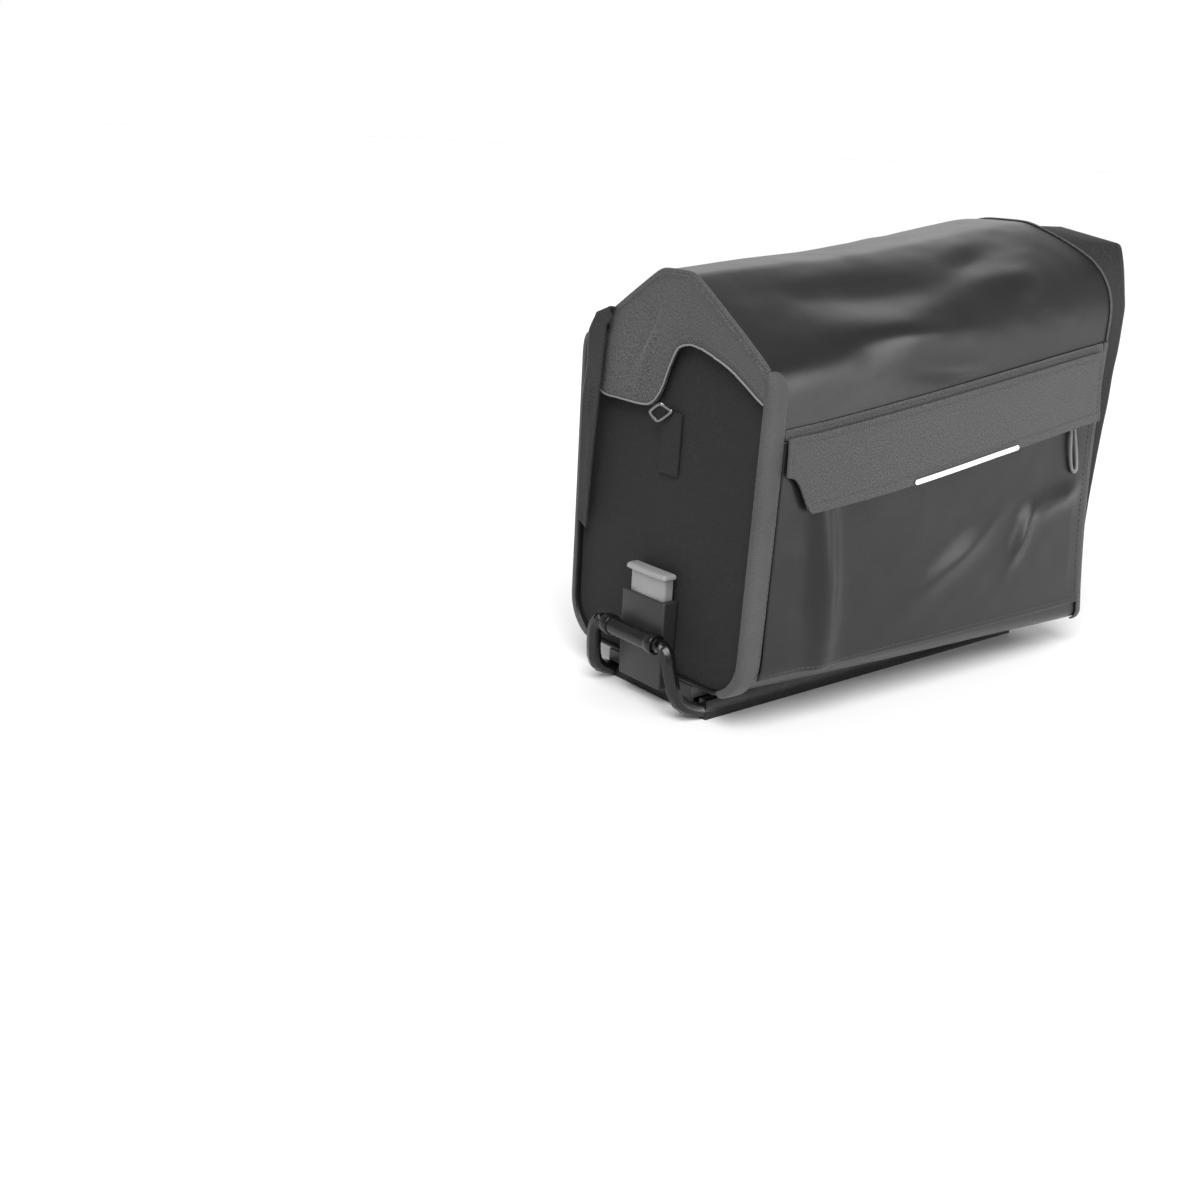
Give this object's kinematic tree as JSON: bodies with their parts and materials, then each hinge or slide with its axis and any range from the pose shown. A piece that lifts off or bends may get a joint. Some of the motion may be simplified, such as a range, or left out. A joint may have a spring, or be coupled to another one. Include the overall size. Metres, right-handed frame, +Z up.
{
  "type": "bicycle trunk bag on its rack adapter plate",
  "caption": "Soft box-shaped bicycle rack-top bag with a domed lid, side flaps, folded closure ends and a latch block, standing on its flat rack adapter plate with a front loop.",
  "frame": {"origin": "under the middle of the whole object, on the ground", "axes": "+X along the bag towards its rear, saddle end at -X; +Z up; near side with the stripe in view at -Y"},
  "size_m": [0.3328, 0.1874, 0.2777],
  "materials": {
    "coated cloth": "satin coated",
    "matte cloth": "matte woven",
    "heather cloth": "heathered weave",
    "edge tape": "ribbed woven",
    "reflective strip": "reflective white",
    "dark plastic": "fine texture",
    "grey plastic": "satin",
    "black plate": "semi-gloss black",
    "steel": "bright"
  },
  "bodies": {
    "bag": {"rack_plate": "black plate", "front_bar": "black plate", "plate_screw_front": "steel", "plate_screw_rear": "steel", "mounting_rail": "dark plastic", "latch_block": "dark plastic", "hull": "coated cloth", "lid": "coated cloth", "front_panel": "matte cloth", "rear_panel": "matte cloth", "front_gusset": "heather cloth", "rear_gusset": "heather cloth", "front_ear": "heather cloth", "rear_ear": "heather cloth", "front_binding": "edge tape", "rear_binding": "edge tape", "front_hook": "steel", "rear_hook": "steel", "front_hook_strap": "edge tape", "rear_hook_strap": "edge tape", "near_front_tape": "edge tape", "near_rear_tape": "edge tape", "near_pocket": "coated cloth", "near_flap": "heather cloth", "near_stripe": "reflective strip", "near_zip_pull": "edge tape", "far_front_tape": "edge tape", "far_rear_tape": "edge tape", "far_pocket": "coated cloth", "far_flap": "heather cloth", "far_stripe": "reflective strip", "far_zip_pull": "edge tape"},
    "button": {"release_button": "grey plastic"}
  },
  "joints": [
    {"name": "button_press", "type": "slide", "parent": "bag", "child": "button", "axis": [0, 0, -1], "range_m": [0, 0.008], "stiffness_N_per_m": 300, "springref_m": -0.003}
  ]
}
